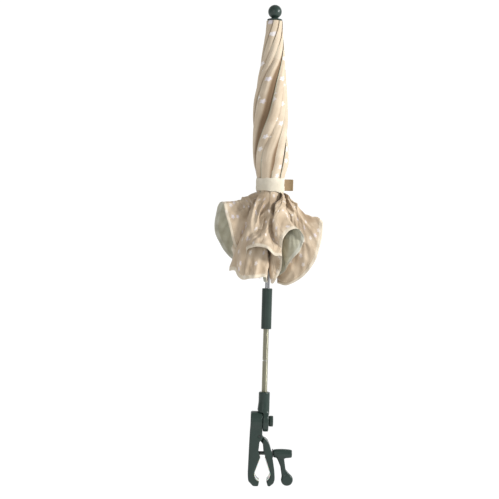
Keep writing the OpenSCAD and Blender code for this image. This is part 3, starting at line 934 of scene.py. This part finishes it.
def gore_points(gore):
    """Rows of points, shares across, distances down the cloth, and the painted shade of each point."""
    u = np.linspace(0, 1, ACROSS + 1)
    v = np.linspace(Z_CROWN - Z_TOP, Z_CROWN - Z_TIE_LOW + 2 * MM, ROLLED + 1)
    rolled, turned, crease = pleat_section(gore, v[:, None], u[None, :])
    loose = flare_points(gore, rolled[-1], turned[-1], u)
    points = np.concatenate([rolled, loose])
    s = np.concatenate([np.zeros(ROLLED + 1), np.linspace(0, 1, LOOSE + 1)[1:]])[:, None]
    fan = waves(100 + gore, 5, 2, 6)(u[None, :] * 6, s * 1.5)
    fine = waves(120 + gore, 9, 4, 15)(u[None, :] * 7, s * 4)
    ridge = 1 - 2 * np.abs(fan) ** 0.8
    free = np.clip((s - 0.14) / 0.36, 0, 1)
    rise = RIDGE * ridge * np.sin(math.pi * free * 0.86) + FINE * fine * free
    points = points + normals_of(points) * rise[..., None]
    x, y, z = points[..., 0], points[..., 1], points[..., 2]
    shared = waves(9, 8, 40, 110)(x + 0.5 * z, y - 0.3 * z) * np.sin(math.pi * s**0.7) * SHARED
    radius = np.maximum(np.hypot(x, y), 1 * MM)
    far = np.clip((radius - 13 * MM) / (8 * MM), 0, 1)
    points[..., 0] += shared * far * x / radius
    points[..., 1] += shared * far * y / radius
    down = np.concatenate([v, v[-1] + (CLOTH_LEN - v[-1]) * np.linspace(0, 1, LOOSE + 1)[1:]])
    radius = np.hypot(points[..., 0], points[..., 1])
    # Painted shade near the mast, in the valleys between ridges, and beside the roll's fold edges.
    between = np.clip((38 * MM - radius) / (20 * MM), 0, 1) * np.clip(s / 0.12, 0, 1)
    valley_shade = np.clip(-ridge * free, 0, 1) * 0.5
    painted_shade = 0.75 * np.maximum(between, valley_shade)
    painted_shade[: ROLLED + 1] = 0.95 * crease
    return points, u, down, np.clip(painted_shade, 0, 1)


# %% [markdown]
# ### Making the cloth solid
# Cloth has two sides, and here they differ: printed outside, coated inside. The sheet gets a
# thin Solidify, whose inner side takes the second material, so both are real surfaces.


# %% Helper: a sheet from rows of points
def make_sheet(
    name, points, flat_u, flat_v, outer, inner, thick=0.35 * MM, flip=False, painted_shade=None
):
    """A solid sheet. flip says that the print side is the other side of the rows and columns."""
    rows, columns = points.shape[:2]
    index = np.arange(rows * columns).reshape(rows, columns)
    quads = np.stack([index[:-1, :-1], index[:-1, 1:], index[1:, 1:], index[1:, :-1]], -1)
    quads = quads.reshape(-1, 4)
    if flip:
        quads = quads[:, ::-1]
    piece = make_piece(name, points.reshape(-1, 3), quads.tolist(), outer)
    piece.data.materials.append(inner)
    flat = piece.data.uv_layers.new(name="cloth")
    uv = np.stack([flat_u, flat_v], -1).reshape(-1, 2)
    loops = np.empty(len(piece.data.loops), int)
    piece.data.loops.foreach_get("vertex_index", loops)
    flat.data.foreach_set("uv", uv[loops].astype(np.float32).ravel())
    # The painted shade of each point, which the cloth finish reads to darken the colour.
    shade = piece.data.attributes.new("painted_shade", "FLOAT", "POINT")
    if painted_shade is not None:
        shade.data.foreach_set("value", painted_shade.astype(np.float32).ravel())
    solid = piece.modifiers.new("thickness", "SOLIDIFY")
    solid.thickness, solid.offset, solid.material_offset = thick, -1.0, 1
    solid.material_offset_rim = 0
    settle(piece)
    piece.data.shade_smooth()
    return piece


# %% [markdown]
# ### Stitches along the hem
# The hem is turned up and sewn with one row of thread. A stitch is a small bead of thread, and
# it repeats about a hundred times on each gore, so Geometry Nodes put one on each point of the
# row. Each point carries the direction that the seam has there, and the bead turns to follow it.

# %% The stitch tree
THREAD_FINISH = moulded("sewing_thread", (0.62, 0.55, 0.43), 0.7)
STITCH_PITCH, STITCH_HALF, STITCH_R, SEAM_UP = 3.2 * MM, 1.15 * MM, 0.22 * MM, 6.4 * MM


def stitch_tree():
    build = Builder("sewn_stitches", [("Half Length", "Float"), ("Thread", "Float")])
    bead = build.add("GeometryNodeMeshUVSphere", Segments=6, Rings=4, Radius=1.0)
    size = build.add(
        "ShaderNodeCombineXYZ",
        X=build.given("Half Length"),
        Y=build.given("Thread"),
        Z=build.given("Thread"),
    )
    mesh = bead.outputs["Mesh"]
    stitch = build.add("GeometryNodeTransform", Geometry=mesh, Scale=size.outputs[0])
    vector = {"data_type": "FLOAT_VECTOR"}
    along = build.add("GeometryNodeInputNamedAttribute", vector, Name="along")
    turn = build.add("FunctionNodeAlignRotationToVector", {"axis": "X"}, Vector=along.outputs[0])
    sewn = build.add(
        "GeometryNodeInstanceOnPoints",
        Points=build.given("Geometry"),
        Instance=stitch.outputs[0],
        Rotation=turn.outputs[0],
    )
    smooth = build.add("GeometryNodeSetShadeSmooth", Geometry=sewn.outputs[0])
    build.finish(smooth.outputs[0], THREAD_FINISH)
    return build


# %% Where the stitches go
def hem_seam(points):
    """Stitch centres and directions on the outer face, a little above the cloth's lower edge."""
    outer = points + normals_of(points) * STITCH_R * 0.4
    up = outer[::-1]
    rise = np.cumsum(np.linalg.norm(np.diff(up, axis=0), axis=2), axis=0)
    rise = np.concatenate([rise[:1] * 0, rise])
    columns = range(up.shape[1])
    row = np.array(
        [[np.interp(SEAM_UP, rise[:, k], up[:, k, a]) for a in range(3)] for k in columns]
    )
    run = np.concatenate([[0], np.cumsum(np.linalg.norm(np.diff(row, axis=0), axis=1))])
    at = np.arange(2 * MM, run[-1] - 2 * MM, STITCH_PITCH)
    place = np.stack([np.interp(at, run, row[:, a]) for a in range(3)], -1)
    ahead = np.stack([np.interp(at + STITCH_HALF, run, row[:, a]) for a in range(3)], -1)
    return place, ahead - place


def sew(name, place, along):
    """Runs the stitch tree on points that carry the seam's direction."""
    piece = make_piece(name, place, [], THREAD_FINISH)
    piece.data.attributes.new("along", "FLOAT_VECTOR", "POINT")
    piece.data.attributes["along"].data.foreach_set("vector", along.astype(np.float32).ravel())
    return run_tree(piece, sewing, {"Half Length": STITCH_HALF, "Thread": STITCH_R})


sewing = stitch_tree()
print("a stitch every", STITCH_PITCH, "m")

# %% [markdown]
# ### The eight folded gores
# No joint can unroll cloth. So the folded gores ride on the mast, and they keep their rolled
# shape when the runner rises.

# %% Eight folded gores, sewn
for gore in range(RIBS):
    points, u, down, painted_shade = gore_points(gore)
    arc = np.cumsum(np.linalg.norm(np.diff(points, axis=1), axis=2), axis=1)
    arc = np.concatenate([arc[:, :1] * 0, arc], axis=1)
    flat_u = (arc / arc[:, -1:] - 0.5) * gore_width(down)[:, None] + 0.4 * gore
    flat_v = np.repeat(down[:, None], len(u), 1)
    sheet = make_sheet(
        f"gore_cloth_{gore + 1}", points, flat_u, flat_v, CLOTH_OUT, CLOTH_IN, flip=True, painted_shade=painted_shade
    )
    seam = sew(f"hem_stitches_{gore + 1}", *hem_seam(points))
    for piece in (sheet, seam):
        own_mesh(piece)
        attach(piece, "mast")

# %% [markdown]
# ## The open canopy
# When the runner goes up, the ribs swing out and the cloth is stretched flat between them. One
# piece can only bend between two bodies, so the open cloth is a narrow fold beside each rib
# while the parasol is closed. Each point is put where a bend towards the next rib would carry it
# to the right place on the open gore. That bend isn't set up here, and the webs ride with no body.

# %% How the fold fans out
FOLD_W = 10 * MM
RIB_TOP = 11.5 * MM  # outer side of a closed rib, from the mast's axis
joints = {j["name"]: j for j in frame["joints"]}
FAN = 2 * math.asin(math.sin(OPEN) * math.sin(STEP / 2))  # angle of one open gore at the crown


def folded_angle(reach, target):
    """Angle at rest whose bend ends at the target angle on the open gore."""
    low, high = np.zeros_like(target), np.minimum(target, math.pi / 3)
    for _ in range(40):
        middle = (low + high) / 2
        t = np.clip(reach * np.sin(middle) / FOLD_W, 0, 1)
        ends = middle + FAN * t * t * (3 - 2 * t)
        low, high = np.where(ends < target, middle, low), np.where(ends < target, high, middle)
    return (low + high) / 2


print("one gore fans out by", round(math.degrees(FAN), 1), "degrees")

# %% [markdown]
# ### Eight webs
# Each web lies on top of its rib, sags by a few millimetres between two ribs, and has a rim that
# curves in, as tight cloth does.

# %% Eight webs
WEB_ACROSS, WEB_DOWN = 40, 60
WEB_TOP, RIM_IN, SAG, WEB_LIFT = 10 * MM, 8 * MM, 2 * MM, 0.4 * MM
for gore in range(RIBS):
    joint = joints[f"gore_{gore + 1}_fan"]
    apex = np.array(joint["pos_m"])
    normal = np.array(joint["axis"])
    along = np.array([0, 0, -1.0])
    across = np.cross(normal, along)
    share = np.linspace(0, 1, WEB_ACROSS + 1)[None, :]
    longest = CLOTH_LEN * math.cos(FAN / 2) / np.cos((share - 0.5) * FAN)
    longest = longest - RIM_IN * 4 * share * (1 - share)
    reach = WEB_TOP + (longest - WEB_TOP) * np.linspace(0, 1, WEB_DOWN + 1)[:, None]
    target = np.broadcast_to(share * FAN, reach.shape)
    angle = folded_angle(reach, target)
    sag = SAG * 4 * share * (1 - share) * (reach / CLOTH_LEN) ** 2
    lift = RIB_TOP - PIVOT_R + WEB_LIFT - sag
    points = (
        apex
        + (reach * np.cos(angle))[..., None] * along
        + (reach * np.sin(angle))[..., None] * across
        + lift[..., None] * normal
    )
    flat_u = reach * np.sin(target - FAN / 2) + 0.4 * gore
    flat_v = reach * np.cos(target - FAN / 2)
    web = make_sheet(
        f"open_cloth_{gore + 1}", points, flat_u, flat_v, CLOTH_OUT, CLOTH_IN, 0.25 * MM, flip=True
    )
    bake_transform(web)
    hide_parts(f"gore_{gore + 1}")
print("eight fans of open cloth")

# %% [markdown]
# ## The tie strap
# A cream band goes round the roll a little more than once. It is pulled tight, so it bulges in
# the middle, dips in front, and its edges wander. Its end piece stands off on the right, and is
# coloured darker brown as painted shade. Both are sewn to one rib.

# %% The strap
STRAP_W = Z_TIE_TOP - Z_TIE_LOW
STRAP_R, STRAP_TURNS = 23.4 * MM, 1.02
band_length = 2 * math.pi * STRAP_R * STRAP_TURNS


def band_points(radius, wave, width, low, turns=1.0, rows=14, columns=160, grow=0.0):
    """A band round the mast. It bulges a little and its edges pull in."""
    across = np.linspace(0, 1, rows + 1)[:, None]
    round_ = np.linspace(0, 1, columns + 1)[None, :]
    angle = 2 * math.pi * turns * round_
    r = radius + wave * waves(7, 5, 2, 6)(angle, across * 2) * MM
    r = r + 0.7 * MM * np.sin(math.pi * across) ** 0.5 - 0.4 * MM + grow * round_
    ruck = waves(17, 5, 1, 3)(np.cos(angle) * 3, np.sin(angle) * 3)
    z = low + width * across - 4 * MM * (1 - across) * (0.5 + 0.5 * np.cos(angle)) ** 2
    z = z + 0.8 * MM * ruck + 0.5 * MM * np.sin(angle * 2) * (1 - across)
    return np.stack([r * np.cos(angle), r * np.sin(angle), z + 0 * r], -1), across, round_


band, across, round_ = band_points(
    STRAP_R - 0.5 * MM, 0.45, STRAP_W, Z_TIE_LOW, turns=STRAP_TURNS, grow=0.6 * MM
)
strap = make_sheet(
    "strap_band",
    band,
    np.broadcast_to(across * STRAP_W, band.shape[:2]) + 3.3,
    np.broadcast_to(round_ * band_length, band.shape[:2]),
    STRAP,
    STRAP,
    thick=0.5 * MM,
)
print("strap", round(STRAP_W, 4), "wide and", round(band_length, 4), "long")


# %% The strap's end
TAB_OUT, TAB_H = 14.2 * MM, 0.88


def tab_points():
    """The strap's end: it leaves the band and curls forward a little."""
    across = np.linspace(0, 1, 13)[:, None]
    out = np.linspace(0, 1, 25)[None, :]
    x = STRAP_R + TAB_OUT * out
    y = -3.2 * MM + 1.6 * MM * np.sin(out * 2.4) - 1.2 * MM * out**2
    z = Z_TIE_LOW + STRAP_W * (0.06 + TAB_H * across) + 0.5 * MM * np.sin(out * 3) * (across - 0.5)
    return np.stack([x + 0 * z, y + 0 * z, z], -1), across, out


tab_grid, tab_across, tab_out = tab_points()
tab = make_sheet(
    "strap_end",
    tab_grid,
    np.broadcast_to(tab_across * STRAP_W, tab_grid.shape[:2]),
    np.broadcast_to(tab_out * 14 * MM, tab_grid.shape[:2]),
    SHADED_TAB,
    SHADED_TAB,
    thick=1.0 * MM,
)

# %% Sew both to their rib
for piece, node, slot, flat in (
    (strap, "tie_strap", "strap", (STRAP_W, band_length)),
    (tab, "strap_tab", "tab", (14.6 * MM, STRAP_W * 0.88)),
):
    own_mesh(piece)
    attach(piece, "rib_8")
    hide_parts(node)
print("strap and tab on rib 8")

# %% Sizes, and the end
low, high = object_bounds()
print("visual size", [round(b - a, 4) for a, b in zip(low, high)])
